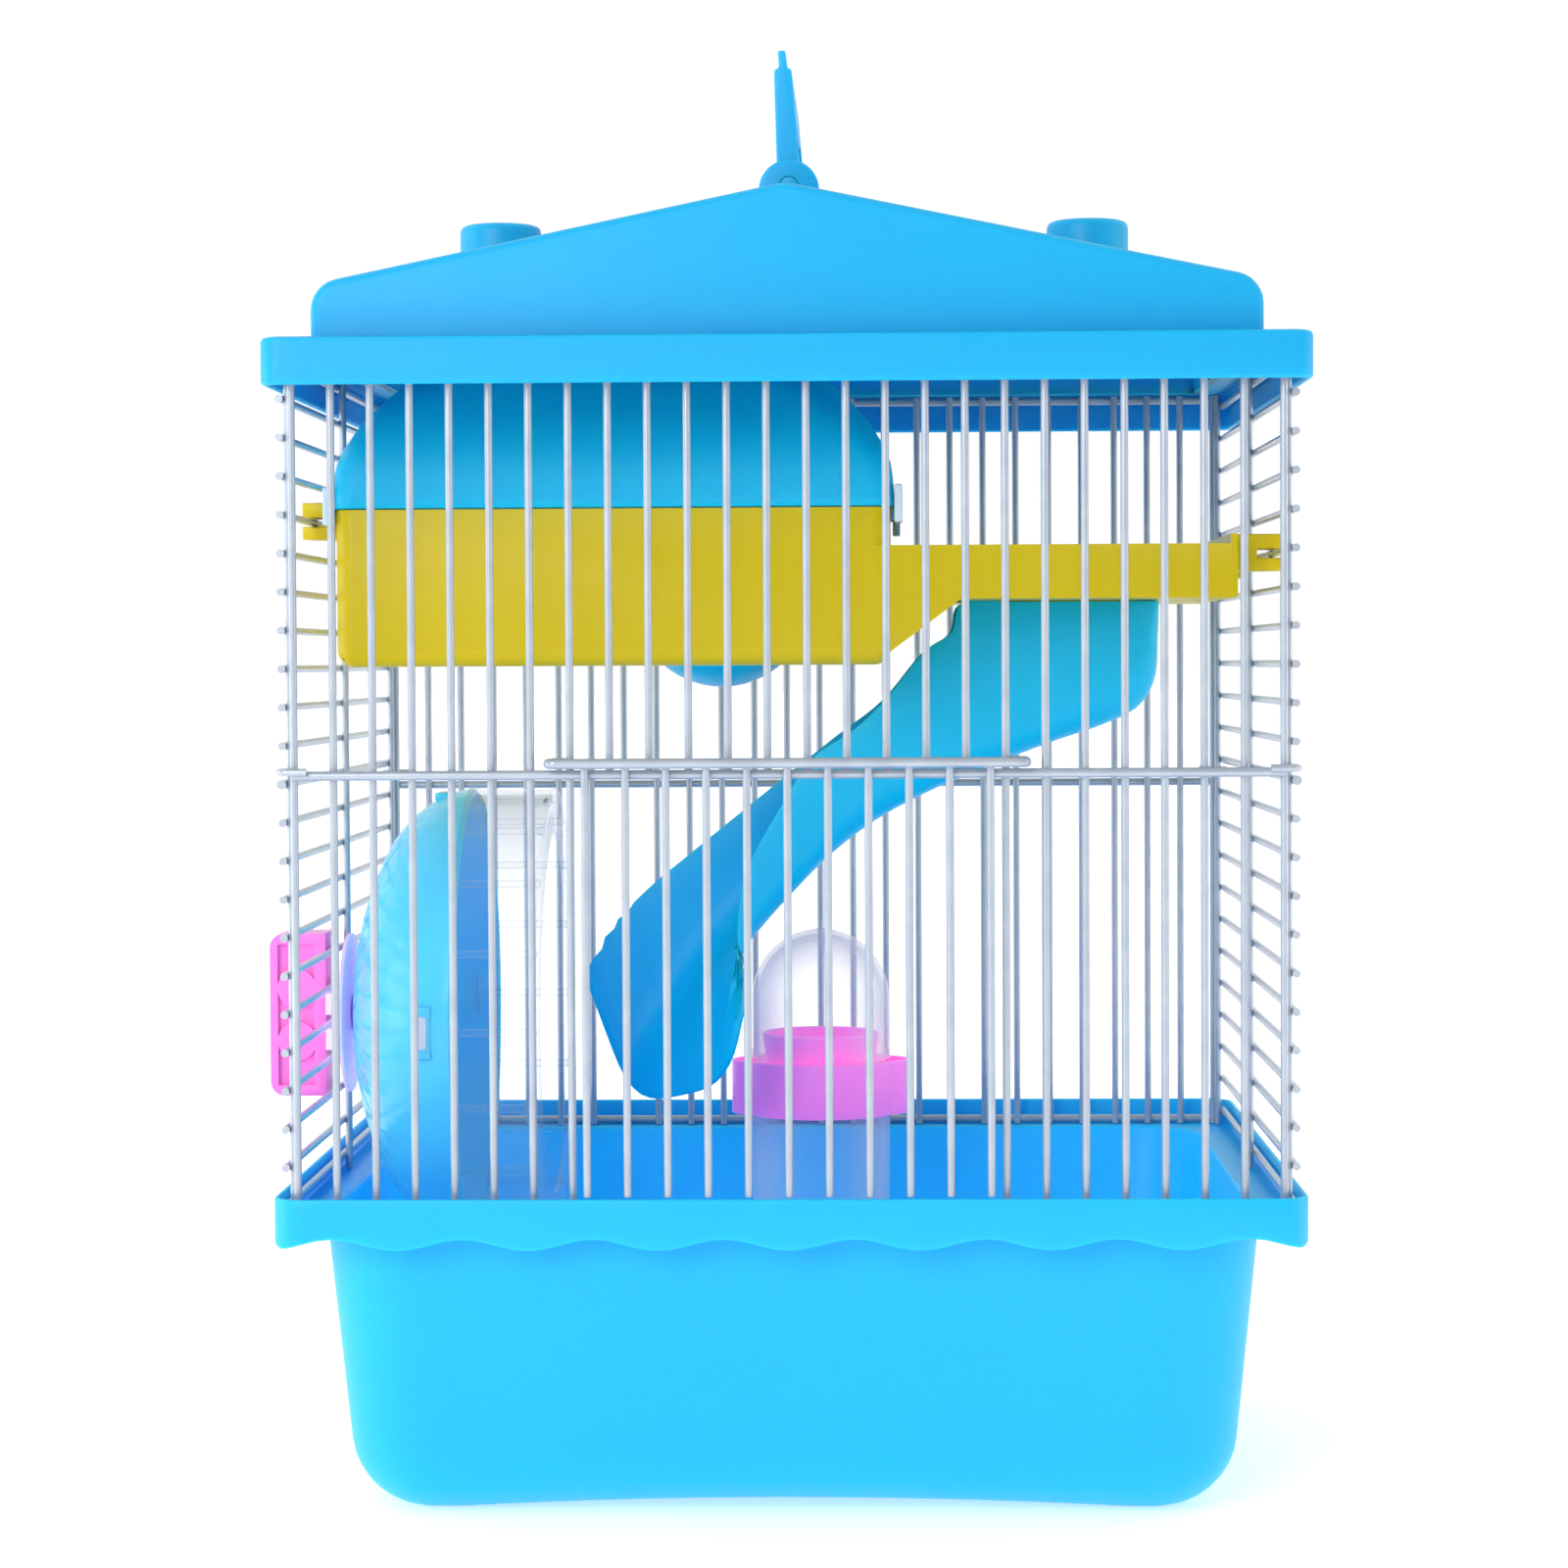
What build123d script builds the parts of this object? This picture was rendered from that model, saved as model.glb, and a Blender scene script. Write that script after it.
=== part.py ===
from build123d import *
import math
import os

# Hamster cage: a deep tub, a welded wire cage with a loft, a slide and an exercise
# wheel, and a lift-off gable roof with a folding handle. Millimetres, +Z up, the
# front faces -Y. The origin is the middle of the tub's resting face.

# ---- driving sizes -------------------------------------------------------------
cage_half_x = 126.0          # side wire planes
cage_half_y = 100.0          # front and back wire planes
wire_r = 1.0                 # thin wires
rail_r = 1.2                 # thicker rails that tie them together
weld_sink = 0.2              # how far welded wires sink into each other
wire_pitch = 10.0            # upright wires, front and back
wires_each_side = 13         # upright wires left and right of the middle
rung_pitch = 9.75            # level wires of the side panels

rim_half_x = 131.0           # base rim, outer
rim_half_y = 107.6
lip_top = 85.0               # top of the base rim
ledge_top = 78.0             # shelf inside the rim that carries the cage
ledge_width = 9.8
rim_wall = 1.2
tub_wall = 1.8
tub_taper = 5.2              # degrees, so that tubs stack
tub_bottom_r = 20.0
tub_corner_r = 22.0
skirt_drop = 13.0            # rim skirt below the lip, at its lowest
wave_depth = 2.8             # scalloped lower edge of the skirt
wave_length = 33.0

roof_half_x = 132.0          # roof rim, outer
roof_rim_bottom = 290.1
roof_rim_top = 302.2
roof_wall = 1.8
gable_half_x = 120.6         # upper roof
gable_half_y = 96.2
eaves_z = 316.4
gable_slope = 0.2065
boss_x = 81.5                # two round vents on the slopes
boss_r = 11.25
boss_top = 342.5

rest_gap = 0.3               # air between parts that lift off each other
front_rail_z = 191.8         # middle rail above the door
back_rail_z = 182.8
side_rail_z = 189.6
top_rail_z = 299.0
bottom_rail_z = ledge_top + rest_gap + rail_r

door_foot_gap = 0.3
door_reach = 60.0
door_hook_in = 5.5
door_half = 51.0             # outermost door wires
door_wires = 11
door_rail_z = 194.7
door_rail_r = 1.3

tray_x = (-120.0, 26.4)      # loft box
tray_half_y = 61.0
tray_z = (219.2, 260.6)
shelf_end_x = 117.2          # landing beside the loft box
shelf_z = (236.4, 250.5)
tray_wall = 1.8
lid_top = 302.5
lid_shoulder_z = 274.5
lid_slope_x = 22.0
lid_slope_y = 14.0
bowl_x = -20.5
bowl_r = 25.0                # sphere that the food bowl is cut from
bowl_drop = 6.0              # how far it hangs below the loft floor

wheel_y = -8.0
wheel_z = 123.2
wheel_r = 62.2
wheel_back_x = -121.8        # crown of the blue back
wheel_rim_x = -90.0
wheel_open_x = -66.7         # open end of the clear drum
drum_wall = 1.4
rungs = 18
axle_r = 3.0
axle_fit = 0.06              # radial running clearance in the wheel hub

feeder_x = 6.0
feeder_y = 28.0
feeder_r = 20.0
feeder_wall = 1.3
collar_z = (90.8, 106.0)
dome_top = 143.4

chute_y = (-27.0, 17.0)      # near and far wall of the slide
chute_wall = 1.6

handle_pivot_z = 345.5
handle_rise = 36.6
handle_lean = 3.0            # degrees to the left at rest
lug_y = 50.0
lug_width = 6.0
lug_r = 8.0
pin_r = 2.5
pin_fit = 0.06


# ---- small helpers -------------------------------------------------------------
def block(x, y, z):
    """A box from its low and high limits on each axis."""
    size = (x[1] - x[0], y[1] - y[0], z[1] - z[0])
    middle = ((x[0] + x[1]) / 2, (y[0] + y[1]) / 2, (z[0] + z[1]) / 2)
    return Pos(*middle) * Box(*size)


def rod(start, end, radius):
    """A straight round wire between two points."""
    path = Vector(*end) - Vector(*start)
    return Plane(start, z_dir=path) * Pos(0, 0, path.length / 2) * Cylinder(radius, path.length)


def bent_rod(points, radius, bend):
    """A round wire bent at its inner points."""
    line = FilletPolyline(*points, radius=bend)
    section = Plane(line @ 0, z_dir=line % 0) * Circle(radius)
    return sweep(section, path=line)


def side_face(outline):
    """A face in the XZ plane from (x, z) corners."""
    return make_face(Polyline(*[(x, 0, z) for x, z in outline], close=True))


def welded(pieces):
    """Fuse wires into one welded panel."""
    return pieces[0].fuse(*pieces[1:])


# ---- base ----------------------------------------------------------------------
def tub_body(inset, floor_z, top_z, corner_r, bottom_r):
    """A tapered round-cornered block, widest at the top."""
    half_x = rim_half_x - ledge_width - inset
    half_y = rim_half_y - ledge_width - inset
    top = Pos(0, 0, top_z) * RectangleRounded(2 * half_x, 2 * half_y, corner_r)
    body = extrude(top, amount=top_z - floor_z, dir=(0, 0, -1), taper=tub_taper)
    return fillet(body.edges().group_by(Axis.Z)[0], bottom_r)


def skirt_waves():
    """Cutters that scallop the lower edge of the rim skirt."""
    low = lip_top - skirt_drop
    cutters = []
    for along_y, half in ((False, rim_half_x), (True, rim_half_y)):
        steps = 2 * math.ceil(half / wave_length * 2)
        crests = [
            wave_length * (n + 0.5)
            for n in range(-steps, steps)
            if abs(wave_length * (n + 0.5)) < half - 8
        ]
        for place in crests:
            crest = Cylinder(wave_length * 1.45, 4 * rim_half_x, rotation=(90, 0, 0))
            crest = Pos(place, 0, low + wave_depth - wave_length * 1.45) * crest
            cutters.append(Rot(0, 0, 90) * crest if along_y else crest)
    return cutters


def base_tub():
    """One moulding: tub, ledge for the cage, upright lip and scalloped skirt."""
    tub = tub_body(0, 0, ledge_top, tub_corner_r, tub_bottom_r)
    low = lip_top - skirt_drop
    rim = Pos(0, 0, low) * RectangleRounded(2 * rim_half_x, 2 * rim_half_y, 8)
    rim = extrude(rim, amount=skirt_drop)
    well = RectangleRounded(2 * (rim_half_x - rim_wall), 2 * (rim_half_y - rim_wall), 7)
    above = extrude(Pos(0, 0, ledge_top) * well, amount=lip_top)
    below = extrude(Pos(0, 0, low - 1) * well, amount=ledge_top - tub_wall - low + 1)
    for wave in skirt_waves():
        rim -= wave
    inside = tub_body(tub_wall, tub_wall, lip_top, tub_corner_r - tub_wall, tub_bottom_r - tub_wall)
    return (rim - above - below + tub) - inside - above


# ---- wire cage -----------------------------------------------------------------
def uprights(columns, y, low, high, radius=wire_r):
    return [rod((x, y, low), (x, y, high), radius) for x in columns]


def wire_columns(first, last):
    """Upright wire positions from one wire number to another."""
    return [wire_pitch * (n - (wires_each_side - 0.5)) for n in range(first, last + 1)]


rail_step = wire_r + rail_r - weld_sink
wire_low = bottom_rail_z - rail_r
wire_high = top_rail_z + rail_r


def front_mesh_upper():
    """Upper half of the front, from the middle rail to the roof."""
    y = -cage_half_y - rail_step
    half = cage_half_x - 1.0
    wires = uprights(wire_columns(0, 25), -cage_half_y, front_rail_z - rail_r, wire_high)
    rails = [rod((-half, y, z), (half, y, z), rail_r) for z in (front_rail_z, top_rail_z)]
    return welded(rails + wires)


def front_mesh_low(side):
    """Lower front wires on one side of the doorway, with their bottom rail."""
    first, last = (0, 7) if side < 0 else (18, 25)
    columns = wire_columns(first, last)
    y = -cage_half_y - rail_step
    rail = rod((columns[0] - wire_r, y, bottom_rail_z), (columns[-1] + wire_r, y, bottom_rail_z), rail_r)
    return welded([rail] + uprights(columns, -cage_half_y, wire_low, front_rail_z - rail_r))


def door_sill():
    """Bottom rail that runs across under the doorway."""
    inner = wire_columns(7, 18)
    y = -cage_half_y - rail_step
    return rod((inner[0] + wire_r, y, bottom_rail_z), (inner[-1] - wire_r, y, bottom_rail_z), rail_r)


def back_mesh():
    """Back panel: uprights tied by three rails behind them."""
    y = cage_half_y + rail_step
    half = cage_half_x - 1.0
    levels = (bottom_rail_z, back_rail_z, top_rail_z)
    rails = [rod((-half, y, z), (half, y, z), rail_r) for z in levels]
    return welded(rails + uprights(wire_columns(0, 25), cage_half_y, wire_low, wire_high))


def side_mesh(side):
    """Side panel: three uprights, level wires outside them, a rail hooked round the corners."""
    post_y = cage_half_y - 2 * wire_r - 0.2
    x_post = side * (cage_half_x + 0.2)
    x_wire = side * (cage_half_x + 0.2 + 2 * wire_r - weld_sink)
    posts = [rod((x_post, y, wire_low), (x_post, y, wire_high), wire_r) for y in (-post_y, 0, post_y)]
    levels = []
    for n in range(-11, 12):
        z = side_rail_z + rung_pitch * n
        thick = rail_r if n == 0 else wire_r
        x = side * (abs(x_wire) + thick - wire_r)
        levels.append(rod((x, -post_y - 2.5, z), (x, post_y + 2.5, z), thick))
    return welded(posts + levels)


def corner_hooks():
    """Curled ends of the side rails that hold the four panels together."""
    x_out = cage_half_x + 0.2 + 2 * wire_r - weld_sink + rail_r - wire_r
    y_out = cage_half_y + rail_step + rail_r + wire_r + 0.2
    hooks = []
    for side in (-1, 1):
        for end in (-1, 1):
            z = side_rail_z + 3.2 if end < 0 else side_rail_z - 3.0
            start = (side * x_out, end * (cage_half_y - 4.0), z)
            corner = (side * x_out, end * y_out, z)
            tip = (side * (x_out - 7.0), end * y_out, z)
            hooks.append(bent_rod([start, corner, tip], wire_r, 2.0))
    return Compound(children=hooks)


def front_door():
    """Sliding door: wires hanging from a top rail whose ends hook behind the cage wires."""
    y_wire = -cage_half_y - rail_step - rail_r - wire_r - 0.4
    y_rail = y_wire - wire_r - door_rail_r + weld_sink
    y_hook = -cage_half_y + wire_r + door_rail_r + 0.5
    step = 2 * door_half / (door_wires - 1)
    low = lip_top + door_foot_gap
    wires = [
        rod((-door_half + step * n, y_wire, low), (-door_half + step * n, y_wire, door_rail_z + 1), wire_r)
        for n in range(door_wires)
    ]
    top = bent_rod(
        [
            (-door_reach + door_hook_in, y_hook, door_rail_z),
            (-door_reach, y_hook, door_rail_z),
            (-door_reach, y_rail, door_rail_z),
            (door_reach, y_rail, door_rail_z),
            (door_reach, y_hook, door_rail_z),
            (door_reach - door_hook_in, y_hook, door_rail_z),
        ],
        door_rail_r,
        1.6,
    )
    return welded([top] + wires)


# ---- loft ----------------------------------------------------------------------
def loft_tray():
    """Box with a sloping step up to a landing; holes for the bowl and for the slide."""
    y = (-tray_half_y, tray_half_y)
    inner_y = (y[0] + tray_wall, y[1] - tray_wall)
    box_end = tray_x[1]
    slope_foot = tray_z[0] + 3.5
    slope_end = box_end + 18.5
    box = block(tray_x, y, tray_z)
    box = fillet(box.edges().filter_by(Axis.Z), 5)
    box = fillet(box.edges().group_by(Axis.Z)[0], 4.5)
    landing = side_face(
        [
            (box_end - 6, slope_foot),
            (box_end, slope_foot),
            (slope_end, shelf_z[0]),
            (shelf_end_x, shelf_z[0]),
            (shelf_end_x, shelf_z[1]),
            (box_end - 6, shelf_z[1]),
        ]
    )
    landing = extrude(landing, amount=tray_half_y, both=True)
    hollow = block(
        (tray_x[0] + tray_wall, box_end - tray_wall), inner_y, (tray_z[0] + tray_wall, tray_z[1] + 5)
    )
    floor_z = shelf_z[0] + tray_wall
    well = block((box_end, shelf_end_x - tray_wall), inner_y, (floor_z, shelf_z[1] + 5))
    ramp = side_face(
        [(box_end, slope_foot + 2.4), (slope_end - 0.6, floor_z + 0.1), (box_end, floor_z + 0.1)]
    )
    ramp = extrude(ramp, amount=inner_y[1], both=True)
    doorway = block((box_end - 8, box_end + 4), (-26, 26), (floor_z, tray_z[1] + 5))
    chord = math.sqrt(bowl_r ** 2 - (bowl_r - bowl_drop - tray_wall) ** 2)
    bowl_hole = Pos(bowl_x, 0, tray_z[0]) * Cylinder(chord + 0.6, 12)
    slide_hole = block((49, 94), (chute_y[0] + 3, chute_y[1] - 3), (shelf_z[0] - 5, shelf_z[1]))
    end_wall = block((shelf_end_x - tray_wall, shelf_end_x), y, (shelf_z[0] + 1, shelf_z[1] + 2.5))
    tray = box + landing + end_wall
    return tray - hollow - well - ramp - doorway - bowl_hole - slide_hole


def loft_hooks():
    """Two-pronged clips on the tray's ends, each gripping one level side wire."""
    hooks = []
    for side, tray_end, wire_number in ((-1, tray_x[0], 7), (1, shelf_end_x, 6)):
        wire_z = side_rail_z + rung_pitch * wire_number
        reach = side * 130.4
        low, high = sorted((tray_end, reach))
        low_jaw, high_jaw = sorted((side * 123.5, side * 135.0))
        for y in (-42.0, 42.0):
            body = block((low, high), (y - 6, y + 6), (wire_z - 4.6, wire_z + 5.2))
            jaw = block((low_jaw, high_jaw), (y - 7, y + 7), (wire_z - wire_r - 0.15, wire_z + wire_r + 0.15))
            lid_room = block((tray_x[0] - 1.6, tray_x[1]), (y - 7, y + 7), (tray_z[1] - 0.5, tray_z[1] + 10))
            hooks.append(body - jaw - lid_room)
    return Compound(children=hooks)


def lid_block(inset, bottom):
    """Box whose upper walls slope in towards a flat top; the inset leaves an even wall."""
    half_x = (tray_x[1] - tray_x[0]) / 2 + 1 - inset
    half_y = tray_half_y + 1 - inset
    top = lid_top - inset
    shoulder = lid_shoulder_z - inset / 2
    across = [
        (-half_x, bottom),
        (half_x, bottom),
        (half_x, shoulder),
        (half_x - lid_slope_x, top),
        (lid_slope_x - half_x, top),
        (-half_x, shoulder),
    ]
    along = [
        (-half_y, bottom),
        (half_y, bottom),
        (half_y, shoulder),
        (half_y - lid_slope_y, top),
        (lid_slope_y - half_y, top),
        (-half_y, shoulder),
    ]
    ends = extrude(side_face(across), amount=half_y, both=True)
    sides = extrude(Rot(0, 0, 90) * side_face(along), amount=half_x, both=True)
    return Pos((tray_x[0] + tray_x[1]) / 2, 0, 0) * (ends & sides)


def loft_lid():
    """Domed cover that lifts off the loft box."""
    bottom = tray_z[1] + rest_gap
    outside = lid_block(0, bottom)
    inside = lid_block(tray_wall, bottom - 10)
    doorway = block((tray_x[1] - 12, tray_x[1] + 5), (-22, 22), (bottom - 5, bottom + 10))
    return outside - inside - doorway


def lid_clasps():
    """Snap tabs at the lid's two ends."""
    tabs = []
    for side, end in ((-1, tray_x[0] - 1), (1, tray_x[1] + 1)):
        outer = end + side * 2.2
        x = tuple(sorted((end, outer)))
        for y in ((-60, -50), (50, 60)):
            tabs.append(block(x, y, (tray_z[1] - 4, tray_z[1] + 6)))
    return Compound(children=tabs)


def food_bowl():
    """Round bowl that drops into the hole in the loft floor and rests on its rim."""
    middle_z = tray_z[0] - bowl_drop + bowl_r
    floor = tray_z[0] + tray_wall
    rim_top = floor + rest_gap + 8
    ball = Pos(bowl_x, 0, middle_z) * (Sphere(bowl_r) - Sphere(bowl_r - 1.6))
    ball &= Pos(bowl_x, 0, rim_top - 30) * Box(80, 80, 60)
    inner = math.sqrt(bowl_r ** 2 - (middle_z - rim_top) ** 2) - 1.2
    flange = Pos(bowl_x, 0, floor + rest_gap + 7.2) * (Cylinder(bowl_r + 1.5, 1.6) - Cylinder(inner, 3))
    return ball + flange


def slide_chute():
    """Open U-shaped slide: a bucket under the landing, a steep run and a wide mouth."""
    floor = [(98.5, 219.2), (92, 208.1), (59.6, 193.9), (23.2, 176.7), (-3, 153.5), (-21.2, 127.2), (-35.4, 107)]
    top = [(-59.6, 133.3), (-57.6, 140.4), (-29.3, 166.6), (25.3, 210.1), (40.4, 226.3), (46.5, 236), (98.5, 236)]
    outline = Spline(*[(x, 0, z) for x, z in floor]) + Polyline(
        *[(x, 0, z) for x, z in [floor[-1]] + top + [floor[0]]]
    )
    solid = extrude(make_face(outline), amount=22, both=True)
    raised = [(96.9, 219.6), (91, 209.6), (58.9, 195.4), (22.3, 178.2), (-4.2, 154.6), (-22.6, 128.2), (-40.4, 101.9)]
    over = [(-75.8, 126.2), (-70.7, 176.7), (25.3, 247.5), (96.9, 247.5)]
    hollow = Spline(*[(x, 0, z) for x, z in raised]) + Polyline(
        *[(x, 0, z) for x, z in [raised[-1]] + over + [raised[0]]]
    )
    hollow = extrude(make_face(hollow), amount=22 - chute_wall, both=True)
    middle = (chute_y[0] + chute_y[1]) / 2
    return Pos(0, middle, 0) * (solid - hollow)


# ---- exercise wheel --------------------------------------------------------------
def about_axle(profile):
    """Turn an (x, radius) outline about the wheel's axle."""
    face = make_face(Polyline(*[(x, 0, r) for x, r in profile], close=True))
    return Pos(0, wheel_y, wheel_z) * revolve(face, Axis.X, 360)


def dish_curve(offset):
    """Outline of the bowl-shaped back, from its rim in to the hub."""
    points = [
        (wheel_rim_x, wheel_r - offset),
        (wheel_rim_x - 11, wheel_r - 3.8 - offset),
        (wheel_rim_x - 20 + offset * 0.7, wheel_r - 12.6 - offset * 0.7),
        (wheel_rim_x - 27 + offset, wheel_r - 26),
        (wheel_rim_x - 30.3 + offset, wheel_r - 39.6),
        (wheel_back_x + offset, 14.0),
    ]
    return points


def wheel_dish():
    """Blue back of the wheel: a bowl with a hub that turns on the axle."""
    outer = dish_curve(0)
    inner = dish_curve(1.6)
    bore = axle_r + axle_fit
    hub_end = wheel_back_x + 14
    profile = outer + [
        (wheel_back_x, bore),
        (hub_end, bore),
        (hub_end, 7.5),
        (wheel_back_x + 1.6, 7.5),
    ] + inner[::-1]
    return about_axle(profile)


def wheel_drum():
    """Clear drum: a track with rungs to run on and an open end ring."""
    start = wheel_rim_x
    track = about_axle(
        [
            (start, wheel_r),
            (wheel_open_x, wheel_r),
            (wheel_open_x, wheel_r - 12),
            (wheel_open_x - drum_wall, wheel_r - 12),
            (wheel_open_x - drum_wall, wheel_r - drum_wall),
            (start, wheel_r - drum_wall),
        ]
    )
    length = wheel_open_x - drum_wall / 2 - start
    pieces = []
    for n in range(rungs):
        angle = 2 * math.pi * n / rungs
        r = wheel_r - drum_wall - 0.6
        y = wheel_y + r * math.cos(angle)
        z = wheel_z + r * math.sin(angle)
        pieces.append(rod((start, y, z), (start + length, y, z), 1.1))
    return track.fuse(*pieces)


def wheel_axle():
    """Axle: thick stub at the wall, then the shaft that carries the hub."""
    stub_end = wheel_back_x - 0.4
    shaft_end = wheel_back_x + 16.4
    profile = [
        (-123.6, 0),
        (-123.6, 5.3),
        (stub_end, 5.3),
        (stub_end, axle_r),
        (shaft_end, axle_r),
        (shaft_end, 0),
    ]
    return about_axle(profile)


def wheel_axle_cap():
    """Cap pressed on the shaft's end, which keeps the wheel on."""
    start = wheel_back_x + 14.4
    return about_axle(
        [
            (start, axle_r),
            (start, 6.2),
            (start + 3.2, 5.4),
            (start + 3.6, 0),
            (start + 2, 0),
            (start + 2, axle_r),
        ]
    )


def wheel_flange_inner():
    """Round plate inside the side wires, with two tongues that reach through them."""
    face_x = -cage_half_x + wire_r + 0.2
    plate = about_axle([(face_x, 0), (face_x, 22), (-123.6, 22), (-123.6, 0)])
    tongues = []
    for n in (-7, -8):
        middle = side_rail_z + rung_pitch * (n + 0.5)
        tongues.append(block((-130.0, face_x + 0.2), (wheel_y - 9, wheel_y + 6.2), (middle - 3, middle + 3)))
    return plate.fuse(*tongues)


def wheel_clamp_outer():
    """Bar outside the side wires that the inner plate is fixed to."""
    x = (-145.5, -130.0)
    bar = block(x, (wheel_y - 8, wheel_y + 8), (wheel_z - 22.5, wheel_z + 22.5))
    bar = fillet(bar.edges().filter_by(Axis.Y).group_by(Axis.X)[0], 4)
    front = wheel_y - 8
    panel = block((x[0] + 2.2, x[1] - 3.2), (front - 1, front + 1.6), (wheel_z - 19.5, wheel_z + 19.5))
    middle_x = (x[0] + x[1]) / 2 - 0.3
    for z in (wheel_z - 7.3, wheel_z + 7.3):
        panel -= Pos(middle_x, front, z) * Cylinder(5.4, 8, rotation=(90, 0, 0))
    return bar - panel


# ---- roof ------------------------------------------------------------------------
def gable(inset, bottom):
    """Gable-ended block; the inset leaves an even wall."""
    half_x = gable_half_x - inset
    ridge = eaves_z + gable_slope * gable_half_x - inset * math.sqrt(1 + gable_slope ** 2)
    eaves = ridge - gable_slope * half_x
    outline = [(-half_x, bottom), (half_x, bottom), (half_x, eaves), (0, ridge), (-half_x, eaves)]
    solid = extrude(side_face(outline), amount=gable_half_y - inset, both=True)
    long_edges = solid.edges().filter_by(Axis.Y)
    eaves_edges = [edge for edge in long_edges if abs(edge.center().Z - eaves) < 0.01]
    return fillet(eaves_edges, 7 - inset)


def roof_shell():
    """One moulding: rim, flange, gable, two vents and the handle lugs."""
    rim_y = rim_half_y
    rim = Pos(0, 0, roof_rim_bottom) * RectangleRounded(2 * roof_half_x, 2 * rim_y, 5)
    rim = extrude(rim, amount=roof_rim_top - roof_rim_bottom)
    well = Pos(0, 0, roof_rim_bottom - 1) * RectangleRounded(
        2 * (roof_half_x - roof_wall), 2 * (rim_y - roof_wall), 3.4
    )
    under_flange = top_rail_z + rail_r + rest_gap
    rim -= extrude(well, amount=under_flange - roof_rim_bottom + 1)
    shell = rim + gable(0, roof_rim_top - 1)
    for side in (-1, 1):
        boss = Pos(side * boss_x, 0, (boss_top + eaves_z) / 2) * Cylinder(boss_r, boss_top - eaves_z)
        shell += fillet(boss.edges().group_by(Axis.Z)[-1], 2)
    shell -= gable(roof_wall, under_flange - 5)
    for y in (-lug_y, lug_y):
        lug = Pos(0, y, handle_pivot_z - 1) * Cylinder(lug_r, lug_width, rotation=(90, 0, 0))
        foot = block((-lug_r, lug_r), (y - lug_width / 2, y + lug_width / 2), (338.9, handle_pivot_z - 1))
        shell += lug + foot
        shell -= Pos(0, y, handle_pivot_z) * Cylinder(pin_r + pin_fit, lug_width + 2, rotation=(90, 0, 0))
    return shell


def carry_handle():
    """Bail handle: two legs, a grip with a thin top rib, and a stub in each lug."""
    half_y = lug_y - lug_width / 2 - 0.5
    pivot = handle_pivot_z
    grip_low = pivot + handle_rise - 15
    top = pivot + handle_rise
    outline = [
        (-3.2, pivot),
        (-2.3, top - 5),
        (-1.0, top - 4.5),
        (-1.0, top),
        (1.0, top),
        (1.0, top - 4.5),
        (2.3, top - 5),
        (3.2, pivot),
    ]
    bail = extrude(side_face(outline), amount=half_y, both=True)
    window = block((-6, 6), (-half_y + 8, half_y - 8), (pivot - 1, grip_low))
    window = fillet(window.edges().filter_by(Axis.X).group_by(Axis.Z)[-1], 6)
    bail -= window
    for side in (-1, 1):
        boss = Pos(0, side * (half_y - 4), pivot) * Cylinder(3.8, 8, rotation=(90, 0, 0))
        stub = Pos(0, side * (half_y + 3.2), pivot) * Cylinder(pin_r, 6.6, rotation=(90, 0, 0))
        bail += boss + stub
    return Pos(0, 0, pivot) * Rot(0, -handle_lean, 0) * Pos(0, 0, -pivot) * bail


# ---- feeder ----------------------------------------------------------------------
def feeder_turned(profile):
    """Turn a (radius, z) outline about the feeder's upright axis."""
    face = make_face(Polyline(*[(r, 0, z) for r, z in profile], close=True))
    return Pos(feeder_x, feeder_y, 0) * revolve(face, Axis.Z, 360)


def feeder_cup():
    """Clear stand: a tube with a floor, standing in the tub."""
    inner = feeder_r - feeder_wall
    floor = tub_wall
    return feeder_turned(
        [
            (0, floor),
            (feeder_r - 1, floor),
            (feeder_r, collar_z[0]),
            (inner, collar_z[0]),
            (inner - 1, floor + feeder_wall),
            (0, floor + feeder_wall),
        ]
    )


def feeder_collar():
    """Pink collar: a ring with a food pocket on each side and a funnel."""
    low, high = collar_z
    ring = feeder_turned([(16.5, low), (22.0, low), (22.0, high), (16.5, high)])
    for side in (-1, 1):
        pocket = Pos(feeder_x + side * 15, feeder_y, (low + high) / 2) * Cylinder(10.5, high - low)
        cup = Pos(feeder_x + side * 17, feeder_y, (low + high) / 2 + 2) * Cylinder(7.6, high - low)
        ring += pocket
        ring -= cup
    core = feeder_turned([(0, low + 3), (14.5, low + 3), (14.5, high + 3), (0, high + 3)])
    ring += feeder_turned([(12, low), (14.6, low), (18.4, high), (16.0, high)])
    return ring - core


def feeder_dome():
    """Clear domed hopper that lifts off for filling."""
    low = collar_z[1] + rest_gap
    shoulder = dome_top - feeder_r
    solid = feeder_turned([(0, low), (feeder_r, low), (feeder_r, shoulder), (0, shoulder)])
    solid += Pos(feeder_x, feeder_y, shoulder) * Sphere(feeder_r)
    inner = feeder_r - feeder_wall
    hollow = feeder_turned([(0, low - 5), (inner, low - 5), (inner, shoulder), (0, shoulder)])
    hollow += Pos(feeder_x, feeder_y, shoulder) * Sphere(inner)
    below = block((feeder_x - 30, feeder_x + 30), (feeder_y - 30, feeder_y + 30), (low - 40, low))
    return solid - hollow - below


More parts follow.
